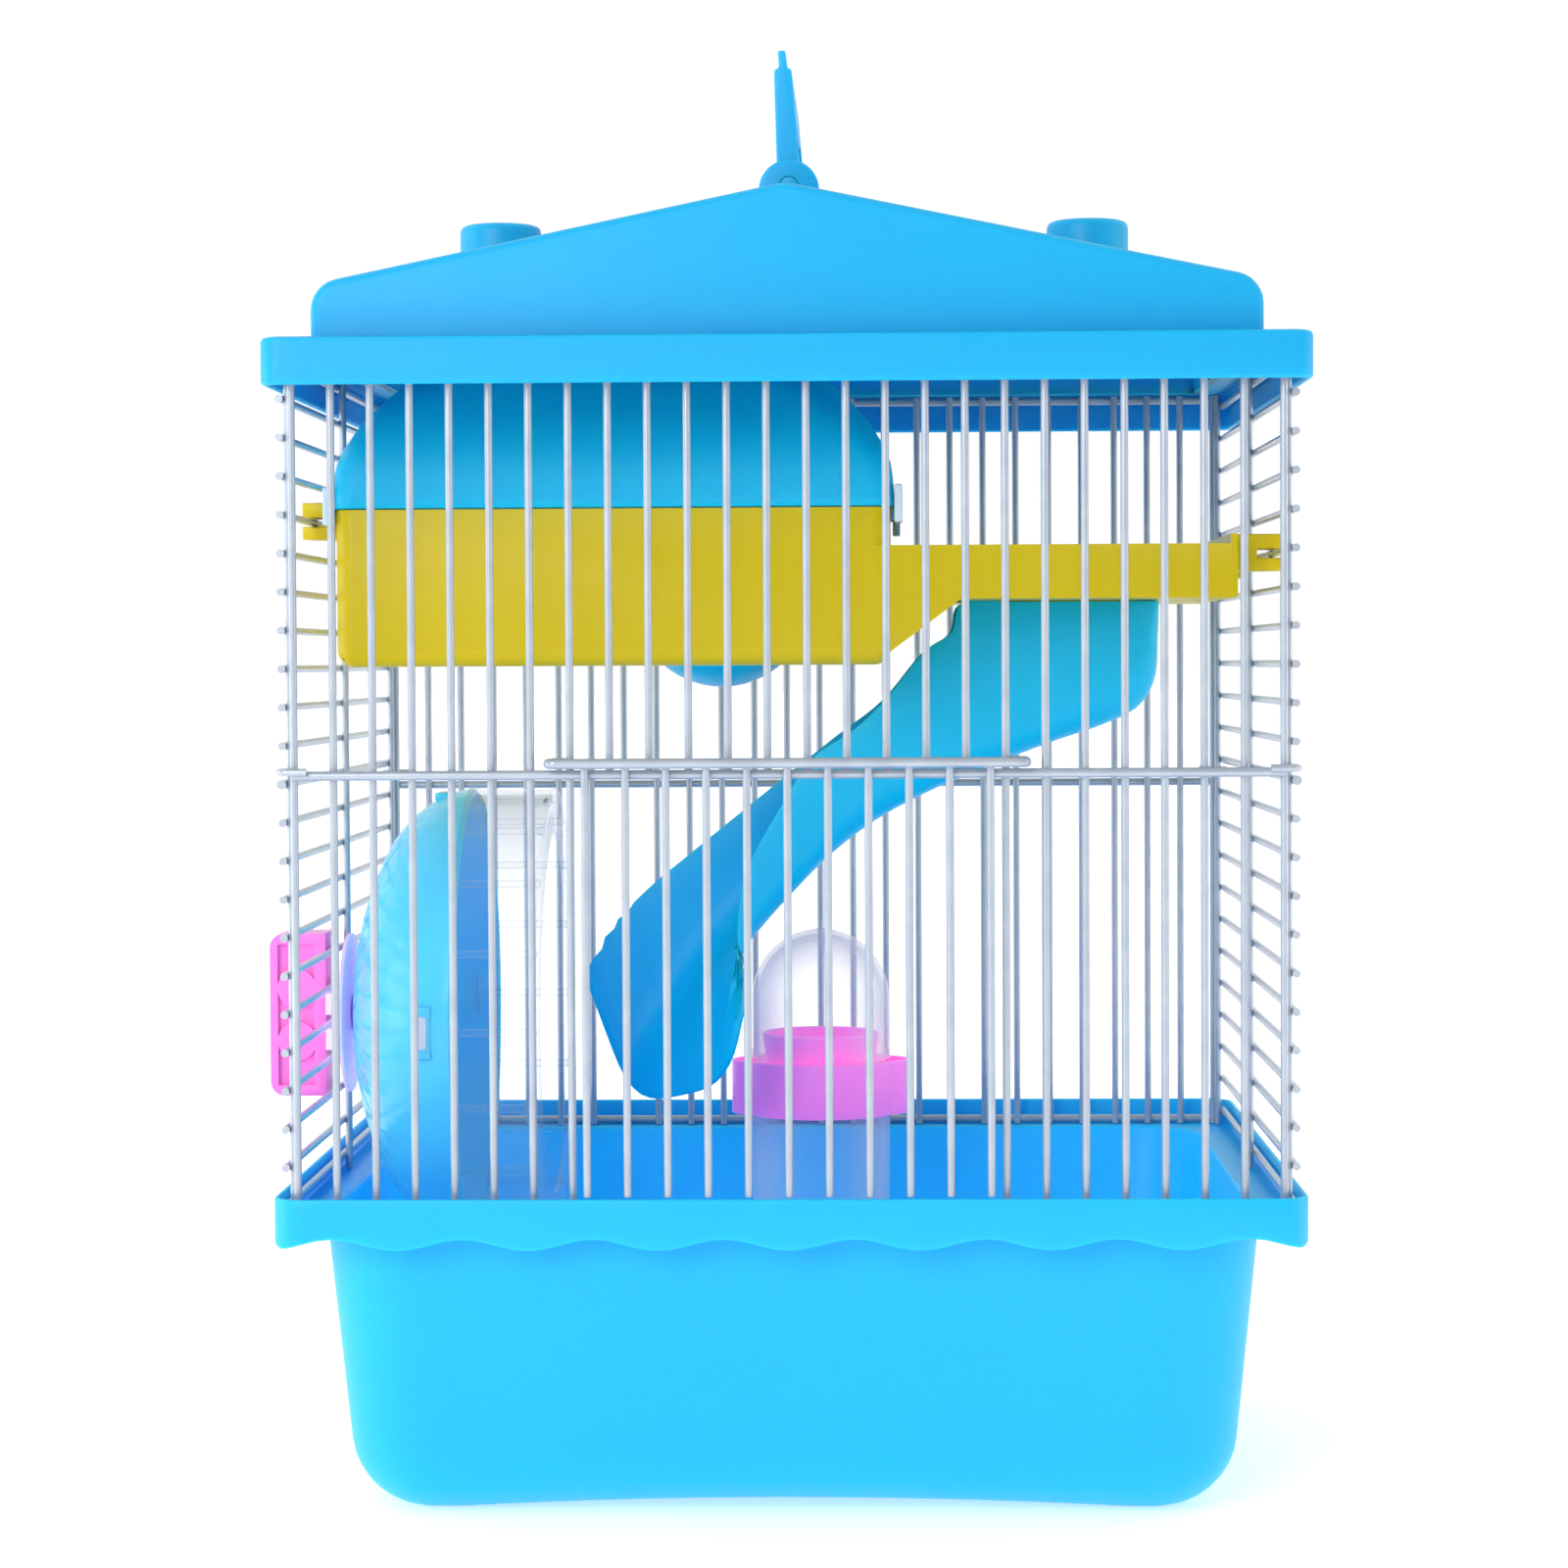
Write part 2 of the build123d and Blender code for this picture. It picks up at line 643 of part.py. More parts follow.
# ---- write one file per piece ------------------------------------------------------
makers = {
    "base_tub": base_tub,
    "feeder_cup": feeder_cup,
    "feeder_collar": feeder_collar,
    "feeder_dome": feeder_dome,
    "front_mesh_upper": front_mesh_upper,
    "front_mesh_left": lambda: front_mesh_low(-1),
    "front_mesh_right": lambda: front_mesh_low(1),
    "door_sill": door_sill,
    "back_mesh": back_mesh,
    "left_mesh": lambda: side_mesh(-1),
    "right_mesh": lambda: side_mesh(1),
    "corner_hooks": corner_hooks,
    "front_door": front_door,
    "loft_tray": loft_tray,
    "loft_hooks": loft_hooks,
    "loft_lid": loft_lid,
    "lid_clasps": lid_clasps,
    "food_bowl": food_bowl,
    "slide_chute": slide_chute,
    "wheel_dish": wheel_dish,
    "wheel_drum": wheel_drum,
    "wheel_axle": wheel_axle,
    "wheel_axle_cap": wheel_axle_cap,
    "wheel_flange_inner": wheel_flange_inner,
    "wheel_clamp_outer": wheel_clamp_outer,
    "roof_shell": roof_shell,
    "carry_handle": carry_handle,
}

os.makedirs("parts", exist_ok=True)
for node, make in makers.items():
    export_step(make(), f"parts/{node}.step")
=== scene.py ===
import math

import bmesh
import bpy
from mathutils import Matrix, Vector


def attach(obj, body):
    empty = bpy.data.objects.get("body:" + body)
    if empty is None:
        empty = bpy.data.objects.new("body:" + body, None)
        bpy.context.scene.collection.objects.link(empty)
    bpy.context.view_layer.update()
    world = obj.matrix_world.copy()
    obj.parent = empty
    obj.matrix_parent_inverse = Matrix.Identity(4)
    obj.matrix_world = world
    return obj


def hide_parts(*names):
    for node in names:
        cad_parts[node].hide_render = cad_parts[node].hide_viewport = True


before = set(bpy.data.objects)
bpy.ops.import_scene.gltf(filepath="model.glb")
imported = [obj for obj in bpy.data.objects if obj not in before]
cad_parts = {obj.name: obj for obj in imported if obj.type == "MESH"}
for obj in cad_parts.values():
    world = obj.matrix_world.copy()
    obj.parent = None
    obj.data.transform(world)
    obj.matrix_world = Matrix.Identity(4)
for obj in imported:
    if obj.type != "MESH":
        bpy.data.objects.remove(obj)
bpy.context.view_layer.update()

MM = 0.001


# ---- Floor and light -------------------------------------------------------------
# A sheet of matt white card lies under the cage, and white fabric softboxes stand round it,
# so that plastic and wire are lit evenly from every side.

def linear(hex_colour, alpha=1.0):
    """An sRGB hex colour as the linear values that shaders take."""
    parts = [int(hex_colour[i:i + 2], 16) / 255 for i in (1, 3, 5)]
    curve = [p / 12.92 if p <= 0.04045 else ((p + 0.055) / 1.055) ** 2.4 for p in parts]
    return (*curve, alpha)


def new_material(name):
    """An empty node material with its output and main shader."""
    material = bpy.data.materials.new(name)
    material.use_nodes = True
    return material, material.node_tree.nodes["Principled BSDF"]


def add(material, kind, values=None, links=None, **settings):
    """Add one node: plain settings, socket values, and links from other nodes' outputs."""
    made = material.node_tree.nodes.new(kind)
    for name, value in settings.items():
        setattr(made, name, value)
    for socket, value in (values or {}).items():
        made.inputs[socket].default_value = value
    for socket, source in (links or {}).items():
        material.node_tree.links.new(source, made.inputs[socket])
    return made


def finish_mesh(name, bm, crease=35):
    """Turn a bmesh into an object with outward faces and smooth shading up to an angle."""
    bmesh.ops.remove_doubles(bm, verts=bm.verts, dist=0.00001)
    bmesh.ops.recalc_face_normals(bm, faces=bm.faces)
    mesh = bpy.data.meshes.new(name)
    bm.to_mesh(mesh)
    bm.free()
    mesh.shade_smooth()
    mesh.set_sharp_from_angle(angle=math.radians(crease))
    piece = bpy.data.objects.new(name, mesh)
    bpy.context.scene.collection.objects.link(piece)
    return piece


card, card_shader = new_material("white_card")
card_shader.inputs["Base Color"].default_value = linear("#FBFCFD")
card_shader.inputs["Roughness"].default_value = 0.9
card_shader.inputs["Specular IOR Level"].default_value = 0.1
card_shader.inputs["Emission Color"].default_value = linear("#FFFFFF")
card_shader.inputs["Emission Strength"].default_value = 0.45

floor_bm = bmesh.new()
bmesh.ops.create_grid(floor_bm, x_segments=8, y_segments=8, size=25.0)
floor = finish_mesh("studio_floor", floor_bm)
floor.data.materials.append(card)

world = bpy.data.worlds.new("studio")
world.use_nodes = True
room = world.node_tree.nodes.new("ShaderNodeTexCoord")
side = world.node_tree.nodes.new("ShaderNodeSeparateXYZ")
fade = world.node_tree.nodes.new("ShaderNodeMapRange")
fade.inputs["From Min"].default_value = -0.6
fade.inputs["From Max"].default_value = 0.2
fade.inputs["To Min"].default_value = 0.4
fade.inputs["To Max"].default_value = 1.04
world.node_tree.links.new(room.outputs["Generated"], side.inputs["Vector"])
world.node_tree.links.new(side.outputs["Y"], fade.inputs["Value"])
world.node_tree.links.new(fade.outputs["Result"], world.node_tree.nodes["Background"].inputs["Strength"])
world.node_tree.nodes["Background"].inputs["Color"].default_value = linear("#FFFFFF")
bpy.context.scene.world = world
bpy.context.scene.view_settings.view_transform = "Standard"


def softbox(name, place, size, watts):
    """A square softbox that faces the middle of the cage."""
    light = bpy.data.lights.new(name, "AREA")
    light.shape = "SQUARE"
    light.size = size
    light.energy = watts
    lamp = bpy.data.objects.new(name, light)
    lamp.location = place
    aim = Vector((0, 0, 0.18)) - Vector(place)
    lamp.rotation_euler = aim.to_track_quat("-Z", "Y").to_euler()
    bpy.context.scene.collection.objects.link(lamp)
    return lamp


softbox("key_softbox", (-0.75, -1.6, 0.85), 0.9, 15)
softbox("left_softbox", (-1.2, -0.15, 0.25), 0.6, 3)
softbox("right_softbox", (1.2, -0.15, 0.25), 0.6, 2)


# ---- Camera ----------------------------------------------------------------------
# An 85 mm portrait lens about a metre in front of the door, a little right of the middle
# and level with the upper third of the cage.

lens = bpy.data.cameras.new("camera")
lens.lens = 85.4
lens.sensor_width = 36.0
lens.clip_start = 0.05
camera = bpy.data.objects.new("camera", lens)
camera.location = (0.023, -1.038, 0.2202)
tilt_down = math.radians(1.89)
turn_left = math.radians(1.46)
lean = math.radians(0.3)
aim_matrix = Matrix.Rotation(turn_left, 4, "Z") @ Matrix.Rotation(math.pi / 2 - tilt_down, 4, "X")
camera.rotation_euler = (aim_matrix @ Matrix.Rotation(-lean, 4, "Z")).to_euler()
bpy.context.scene.collection.objects.link(camera)
bpy.context.scene.camera = camera


# ---- Base tub ----------------------------------------------------------------------
# One injection moulding in polypropylene: a tapered tub with big bottom rounds, a ledge for
# the cage, an upright lip and a scalloped skirt that stiffens the rim and hides the wires' feet.

def moulded(name, pale, deep, roughness=0.3, grain_mm=0.45, glow=0.12, lit=0.0):
    """Moulded plastic: faint flow marks, a fine tool grain and light that bleeds through thin walls.
    lit adds a little emission to shaded walls, standing in for the light that passes through them."""
    material, shader = new_material(name)
    place = add(material, "ShaderNodeTexCoord").outputs["Object"]
    flow = add(material, "ShaderNodeTexNoise", {"Scale": 1 / (60 * MM), "Detail": 3.0}, {"Vector": place})
    tint = add(material, "ShaderNodeValToRGB", links={"Fac": flow.outputs["Fac"]})
    tint.color_ramp.elements[0].position = 0.3
    tint.color_ramp.elements[0].color = linear(deep)
    tint.color_ramp.elements[1].position = 0.7
    tint.color_ramp.elements[1].color = linear(pale)
    rub = add(material, "ShaderNodeTexNoise", {"Scale": 1 / (14 * MM), "Detail": 4.0}, {"Vector": place})
    worn = add(material, "ShaderNodeMapRange",
               {"From Min": 0.3, "From Max": 0.7, "To Min": roughness - 0.02, "To Max": roughness + 0.03},
               {"Value": rub.outputs["Fac"]})
    grain = add(material, "ShaderNodeTexNoise", {"Scale": 1 / (grain_mm * MM), "Detail": 2.0},
                {"Vector": place})
    skin = add(material, "ShaderNodeBump", {"Strength": 0.12, "Distance": 0.03 * MM},
               {"Height": grain.outputs["Fac"]})
    tree = material.node_tree
    tree.links.new(tint.outputs["Color"], shader.inputs["Base Color"])
    tree.links.new(tint.outputs["Color"], shader.inputs["Emission Color"])
    shader.inputs["Emission Strength"].default_value = lit
    tree.links.new(worn.outputs["Result"], shader.inputs["Roughness"])
    tree.links.new(skin.outputs["Normal"], shader.inputs["Normal"])
    shader.inputs["IOR"].default_value = 1.49
    shader.inputs["Specular IOR Level"].default_value = 0.28
    shader.inputs["Subsurface Weight"].default_value = glow
    shader.inputs["Subsurface Radius"].default_value = (0.3, 0.7, 1.0)
    shader.inputs["Subsurface Scale"].default_value = 3.5 * MM
    return material


def rounded_loop(bm, half_x, half_y, corner, height, middle=(0, 0), across=64, along=52, turn=8):
    """A closed loop of edges round a round-cornered rectangle, in millimetres.
    The height is a number or a rule of x and y."""
    flat_x = half_x - corner
    flat_y = half_y - corner
    points = []
    sides = [
        (Vector((-flat_x, -half_y)), Vector((flat_x, -half_y)), across, Vector((flat_x, -flat_y))),
        (Vector((half_x, -flat_y)), Vector((half_x, flat_y)), along, Vector((flat_x, flat_y))),
        (Vector((flat_x, half_y)), Vector((-flat_x, half_y)), across, Vector((-flat_x, flat_y))),
        (Vector((-half_x, flat_y)), Vector((-half_x, -flat_y)), along, Vector((-flat_x, -flat_y))),
    ]
    for side, (start, end, steps, centre) in enumerate(sides):
        points += [start.lerp(end, n / steps) for n in range(steps + 1)]
        for n in range(1, turn):
            angle = math.radians(-90 + 90 * side + 90 * n / turn)
            points.append(centre + corner * Vector((math.cos(angle), math.sin(angle))))
    ring = []
    for point in points:
        z = height(point.x, point.y) if callable(height) else height
        ring.append(bm.verts.new(((point.x + middle[0]) * MM, (point.y + middle[1]) * MM, z * MM)))
    return [bm.edges.new((ring[n - 1], ring[n])) for n in range(len(ring))]


def skin_loops(bm, loops, close=False):
    """Bridge each loop of edges to the next one. Loops in one plane can be bridged crossways,
    so every other loop is first lifted by a fiftieth of a millimetre."""
    for loop in loops[1::2]:
        bmesh.ops.translate(bm, verts=list({v for e in loop for v in e.verts}), vec=(0, 0, 0.02 * MM))
    for first, second in zip(loops, loops[1:]):
        bmesh.ops.bridge_loops(bm, edges=first + second)
    if close:
        bmesh.ops.bridge_loops(bm, edges=loops[-1] + loops[0])


def cap_loop(bm, loop):
    """Close a loop with one face."""
    bmesh.ops.contextual_create(bm, geom=loop)


sky_blue = moulded("sky_blue_polypropylene", "#1CBDF2", "#1ABBF0", roughness=0.4, glow=0.8)
# Painted light: a copy of the base blue that glows a little, for the faces inside the tub, which lie in
# shade.
sky_blue_inside_painted_glow = moulded("sky_blue_inside_walls_painted_glow", "#1CBDF2", "#1ABBF0", roughness=0.4, glow=0.8, lit=0.22)

rim_x = 131.0
rim_narrower = 23.4        # how much less the tub measures from its middle to the front
lip_top = 85.0
ledge = 78.0
skirt_low = 72.0
wave = 2.9                 # depth of the scallops
wave_length = 33.0
wall = 1.8
taper = math.radians(5.2)
foot_x = 114.1             # tub wall, run down to the floor
foot_round = 20.0
arch = 2.3                 # how far the front and back edges bow up from the floor


def scallop(base):
    """Height rule of the skirt's lower edge: a cosine along each side."""
    def rule(x, y):
        along_front = abs(y) > abs(x) - rim_narrower
        phase = x / wave_length if along_front else y / (wave_length * 0.93) + 0.5
        return base + wave * (0.5 - 0.5 * math.cos(2 * math.pi * phase))
    return rule


def bowed(base):
    """Height rule of the tub's underside, bowed up along the front and back edges."""
    def rule(x, y):
        edge = min(max((abs(y) - 42) / 30, 0), 1)
        bow = arch * max(0, 1 - (x / 86) ** 2) * edge * max(0, 1 - base / foot_round)
        return base + bow
    return rule


tub_bm = bmesh.new()
round_x = foot_x + foot_round * math.tan(taper) - foot_round / math.cos(taper)
stations = []
for half in (30, 60, 82):
    stations.append((half, 2 + half * 0.05, bowed(0)))
for n in range(9):
    turn = (math.pi / 2 - taper) * n / 8
    half = round_x + foot_round * math.sin(turn)
    rise = bowed(foot_round - foot_round * math.cos(turn))
    stations.append((half, 2.5 + foot_round * math.sin(turn), rise))
stations += [
    (foot_x + (ledge - wall) * math.tan(taper), 22.0, ledge - wall),
    (rim_x - 1.2, 7.0, ledge - wall),
    (rim_x - 1.2, 7.0, scallop(skirt_low + 0.5)),
    (rim_x - 0.9, 7.2, scallop(skirt_low)),
    (rim_x - 0.3, 7.7, scallop(skirt_low)),
    (rim_x, 8.0, scallop(skirt_low + 0.5)),
    (rim_x, 8.0, lip_top - 0.7),
    (rim_x - 0.2, 7.8, lip_top - 0.2),
    (rim_x - 0.6, 7.4, lip_top),
    (rim_x - 1.0, 7.0, lip_top - 0.2),
    (rim_x - 1.2, 6.8, lip_top - 0.7),
    (rim_x - 1.2, 6.8, ledge + 0.6),
    (rim_x - 1.8, 6.2, ledge),
    (120.3, 21.5, ledge),
    (119.6, 20.8, ledge - 0.3),
    (119.2, 20.4, ledge - 1.0),
]
inner_round = foot_round - wall
for n in range(8, -1, -1):
    turn = (math.pi / 2 - taper) * n / 8
    half = round_x + inner_round * math.sin(turn)
    rise = bowed(foot_round - inner_round * math.cos(turn))
    stations.append((half, 2.5 + inner_round * math.sin(turn), rise))
for half in (82, 60, 30):
    stations.append((half, 2 + half * 0.05, bowed(wall)))
tub_loops = [rounded_loop(tub_bm, half, half - rim_narrower, corner, z) for half, corner, z in stations]
skin_loops(tub_bm, tub_loops)
cap_loop(tub_bm, tub_loops[0])
cap_loop(tub_bm, tub_loops[-1])
tub = finish_mesh("base_moulding", tub_bm)
tub.data.materials.append(sky_blue)
tub.data.materials.append(sky_blue_inside_painted_glow)
# Painted light: the upward-facing faces inside the tub, below the ledge, take the glowing copy to lift their
# shade.
for face in tub.data.polygons:
    outward = face.normal.x * face.center.x + face.normal.y * face.center.y > 0
    if face.normal.z > 0.02 and face.center.z < (ledge - 0.5) * MM and not outward:
        face.material_index = 1
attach(tub, "base")
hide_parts("base_tub")


# ---- Wire panels ---------------------------------------------------------------------
# Drawn mild-steel wire, spot-welded into flat panels, then dipped in a pale grey enamel that
# pools a little at the welds. The side panels' curled rail ends hook the four panels together.

def enamelled_wire(name, pale, deep):
    """Dipped enamel on wire: smooth, glossy, with slow changes of thickness along the wire."""
    material, shader = new_material(name)
    place = add(material, "ShaderNodeTexCoord").outputs["Object"]
    pool = add(material, "ShaderNodeTexNoise", {"Scale": 1 / (8 * MM), "Detail": 4.0}, {"Vector": place})
    tint = add(material, "ShaderNodeValToRGB", links={"Fac": pool.outputs["Fac"]})
    tint.color_ramp.elements[0].position = 0.3
    tint.color_ramp.elements[0].color = linear(deep)
    tint.color_ramp.elements[1].position = 0.65
    tint.color_ramp.elements[1].color = linear(pale)
    draw = add(material, "ShaderNodeTexNoise", {"Scale": 1 / (0.8 * MM), "Detail": 2.0}, {"Vector": place})
    skin = add(material, "ShaderNodeBump", {"Strength": 0.1, "Distance": 0.03 * MM},
               {"Height": draw.outputs["Fac"]})
    tree = material.node_tree
    tree.links.new(tint.outputs["Color"], shader.inputs["Base Color"])
    tree.links.new(skin.outputs["Normal"], shader.inputs["Normal"])
    shader.inputs["Roughness"].default_value = 0.28
    shader.inputs["Metallic"].default_value = 0.35
    shader.inputs["Coat Weight"].default_value = 0.4
    shader.inputs["Coat Roughness"].default_value = 0.15
    return material


enamel = enamelled_wire("pale_grey_enamel", "#B6BFCB", "#AAB4C2")


def recoat(material, *nodes):
    """Give CAD pieces a finish."""
    for name in nodes:
        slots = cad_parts[name].data.materials
        for n in range(len(slots)):
            slots[n] = material


recoat(enamel, "front_mesh_upper", "front_mesh_left", "front_mesh_right", "door_sill", "back_mesh",
       "left_mesh", "right_mesh", "corner_hooks", "front_door")


# ---- Roof ------------------------------------------------------------------------------
# One moulding in the same polypropylene: a deep rim that drops over the cage, a flat flange,
# a gable with soft shoulders, two round vents and two lugs for the handle.

roof_rim_x = 132.0
roof_rim_low = 290.1
roof_rim_top = 302.2
roof_narrower = 24.4
flange_under = 300.5
gable_x = 120.6
gable_y = 96.2
eaves = 316.4
slope = 0.2065
ridge = eaves + slope * gable_x
shoulder_round = 8.0
ridge_round = 14.0

roof_bm = bmesh.new()
rim_stations = [
    (gable_x - 0.9, 4.0, flange_under),
    (roof_rim_x - 2.6, 3.0, flange_under),
    (roof_rim_x - 1.8, 3.2, flange_under - 0.8),
    (roof_rim_x - 1.8, 3.2, roof_rim_low + 0.6),
    (roof_rim_x - 1.3, 3.7, roof_rim_low),
    (roof_rim_x - 0.6, 4.4, roof_rim_low),
    (roof_rim_x, 5.0, roof_rim_low + 0.6),
    (roof_rim_x, 5.0, roof_rim_top - 1.4),
    (roof_rim_x - 0.4, 4.6, roof_rim_top - 0.4),
    (roof_rim_x - 1.4, 4.0, roof_rim_top),
    (gable_x - 0.9, 4.0, roof_rim_top),
]
rim_loops = [
    rounded_loop(roof_bm, half, half - roof_narrower, corner, z) for half, corner, z in rim_stations
]
skin_loops(roof_bm, rim_loops, close=True)
roof_rim = finish_mesh("roof_rim_shape", roof_bm)


def arc_points(centre, radius, start, end, steps):
    """Points of an arc, angles in degrees."""
    angles = [math.radians(start + (end - start) * n / steps) for n in range(steps + 1)]
    return [(centre[0] + radius * math.cos(a), centre[1] + radius * math.sin(a)) for a in angles]


def gable_outline():
    """Front outline of the gable: upright walls, round shoulders, two slopes, a soft ridge."""
    tip = math.degrees(math.atan(slope))
    shoulder_x = gable_x - shoulder_round
    lean_in = math.sqrt(1 + slope ** 2)
    shoulder_z = ridge - slope * shoulder_x - shoulder_round * lean_in
    right = arc_points((shoulder_x, shoulder_z), shoulder_round, 0, 90 - tip, 6)
    top = arc_points((0, ridge - ridge_round * lean_in), ridge_round, 90 - tip, 90 + tip, 4)
    left = arc_points((-shoulder_x, shoulder_z), shoulder_round, 90 + tip, 180, 6)
    return [(gable_x, flange_under)] + right + top + left + [(-gable_x, flange_under)]


gable_bm = bmesh.new()
front = [gable_bm.verts.new((x * MM, -gable_y * MM, z * MM)) for x, z in gable_outline()]
front_face = gable_bm.faces.new(front)
run = bmesh.ops.extrude_face_region(gable_bm, geom=[front_face])
back = [v for v in run["geom"] if isinstance(v, bmesh.types.BMVert)]
bmesh.ops.translate(gable_bm, verts=back, vec=(0, 2 * gable_y * MM, 0))
under = [f for f in gable_bm.faces if all(abs(v.co.z - flange_under * MM) < 1e-6 for v in f.verts)]
bmesh.ops.delete(gable_bm, geom=under, context="FACES")
ends = [e for e in gable_bm.edges if abs(abs(e.verts[0].co.y) - gable_y * MM) < 1e-6
        and abs(e.verts[0].co.y - e.verts[1].co.y) < 1e-6 and not e.is_boundary]
bmesh.ops.bevel(gable_bm, geom=ends, offset=2.4 * MM, offset_type="OFFSET", affect="EDGES", segments=4,
                profile=0.5, material=-1, clamp_overlap=True)
gable = finish_mesh("gable_shape", gable_bm)
thick = gable.modifiers.new("wall", "SOLIDIFY")
thick.thickness = wall * MM
thick.offset = -1

vent_x = 81.5
vent_r = 11.3
vent_top = 341.6


def turned(bm, outline, axis_point, axis, steps=48):
    """Spin an open outline once round an axis and merge the seam; the outline is in millimetres."""
    verts = [bm.verts.new(Vector(p) * MM) for p in outline]
    edges = [bm.edges.new(pair) for pair in zip(verts, verts[1:])]
    bmesh.ops.spin(bm, geom=verts + edges, cent=Vector(axis_point) * MM, axis=axis, angle=2 * math.pi,
                   steps=steps, use_merge=True)


vents_bm = bmesh.new()
for side in (-1, 1):
    x = side * vent_x
    profile = [(0, vent_top), (9.4, vent_top), (10.5, vent_top - 0.4), (11.1, vent_top - 1.1),
               (vent_r, vent_top - 2.2), (vent_r, 318.5), (9.6, 318.5), (9.6, vent_top - 1.8),
               (0, vent_top - 1.8)]
    turned(vents_bm, [(x + r, 0, z) for r, z in profile], (x, 0, 0), (0, 0, 1))
vents = finish_mesh("vents_shape", vents_bm)

pivot_z = 345.5
lug_y = 50.0
lug_half = 3.0
pin_bore_r = 2.56
lug_bm = bmesh.new()
for y in (-lug_y, lug_y):
    lug_line = [(8.0, 338.9)] + arc_points((0, pivot_z - 1), 8.0, 0, 180, 16) + [(-8.0, 338.9)]
    verts = [lug_bm.verts.new((x * MM, (y - lug_half) * MM, z * MM)) for x, z in lug_line]
    face = lug_bm.faces.new(verts)
    grown = bmesh.ops.extrude_face_region(lug_bm, geom=[face])
    moved = [v for v in grown["geom"] if isinstance(v, bmesh.types.BMVert)]
    bmesh.ops.translate(lug_bm, verts=moved, vec=(0, 2 * lug_half * MM, 0))
rims = [e for e in lug_bm.edges if abs(e.verts[0].co.y - e.verts[1].co.y) < 1e-6
        and max(v.co.z for v in e.verts) > 339.0 * MM]
bmesh.ops.bevel(lug_bm, geom=rims, offset=0.9 * MM, offset_type="OFFSET", affect="EDGES", segments=3,
                profile=0.5, material=-1)
lugs = finish_mesh("lugs_shape", lug_bm)
bore_bm = bmesh.new()
along_pivot = Matrix.Translation((0, 0, pivot_z * MM)) @ Matrix.Rotation(math.pi / 2, 4, "X")
bmesh.ops.create_cone(bore_bm, cap_ends=True, segments=96, radius1=pin_bore_r * MM,
                      radius2=pin_bore_r * MM, depth=2 * (lug_y + 10) * MM, matrix=along_pivot)
bore = finish_mesh("bore_shape", bore_bm)
pin_bores = lugs.modifiers.new("pin_bores", "BOOLEAN")
pin_bores.operation = "DIFFERENCE"
pin_bores.solver = "EXACT"
pin_bores.object = bore


def joined(name, pieces):
    """One object from several shapes with their modifiers applied; the shapes are removed."""
    graph = bpy.context.evaluated_depsgraph_get()
    bm = bmesh.new()
    for piece in pieces:
        bm.from_mesh(piece.evaluated_get(graph).to_mesh())
    for piece in pieces:
        bpy.data.objects.remove(piece)
    mesh = bpy.data.meshes.new(name)
    bm.to_mesh(mesh)
    bm.free()
    mesh.materials.clear()
    mesh.shade_smooth()
    mesh.set_sharp_from_angle(angle=math.radians(35))
    whole = bpy.data.objects.new(name, mesh)
    bpy.context.scene.collection.objects.link(whole)
    return whole


# Painted shade: the roof takes a darker copy of the base's blue, which paints the shade that lies on the
# roof.
roof_blue_painted_shade = moulded("roof_blue_polypropylene_painted_shade", "#16B0E2", "#14AEE0", roughness=0.4, glow=0.8)
roof = joined("roof_moulding", [roof_rim, gable, vents, lugs])
bpy.data.objects.remove(bore)
roof.data.materials.append(roof_blue_painted_shade)
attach(roof, "roof")
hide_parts("roof_shell")


# ---- Loft tray -------------------------------------------------------------------------
# An open box with a sloping step up to a landing, injection moulded in opaque yellow
# polypropylene, clipped to the side wires. The bowl and the slide hang in its two holes.

def softened(node, name, width_mm, segments=3, angle=30):
    """A copy of a CAD piece with merged corners and rounded edges."""
    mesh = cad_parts[node].data.copy()
    mesh.name = name
    mesh.materials.clear()
    bm = bmesh.new()
    bm.from_mesh(mesh)
    bmesh.ops.remove_doubles(bm, verts=bm.verts, dist=0.01 * MM)
    bmesh.ops.dissolve_limit(bm, angle_limit=math.radians(1), verts=bm.verts, edges=bm.edges)
    bmesh.ops.recalc_face_normals(bm, faces=bm.faces)
    bm.to_mesh(mesh)
    bm.free()
    mesh.shade_smooth()
    piece = bpy.data.objects.new(name, mesh)
    bpy.context.scene.collection.objects.link(piece)
    edge = piece.modifiers.new("soft_edges", "BEVEL")
    edge.width = width_mm * MM
    edge.segments = segments
    edge.limit_method = "ANGLE"
    edge.angle_limit = math.radians(angle)
    edge.harden_normals = True
    return piece


def fitted(piece, body, node, slot, *materials):
    """Give a piece its materials and its body, and hide the CAD piece it stands for. The slot argument is not
    used.
    """
    for material in materials:
        piece.data.materials.append(material)
    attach(piece, body)
    if node:
        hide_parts(node)


yellow = moulded("yellow_polypropylene", "#D3BC0A", "#CDB608", roughness=0.34)
fitted(softened("loft_tray", "loft_tray_moulding", 0.6), "cage", "loft_tray", "yellow_plastic", yellow)
fitted(softened("loft_hooks", "loft_clips", 0.5), "cage", "loft_hooks", "yellow_plastic", yellow)


# ---- Loft lid --------------------------------------------------------------------------
# A domed cover in a deeper blue polypropylene, thin enough to glow, held by two snap tabs
# at each end.

deep_blue = moulded("deep_blue_polypropylene", "#04C0F2", "#04BDF0", roughness=0.42, glow=0.8)
lid_middle = (-46.8, 0.0)
lid_x = 74.2
lid_y = 62.0
lid_low = 260.9
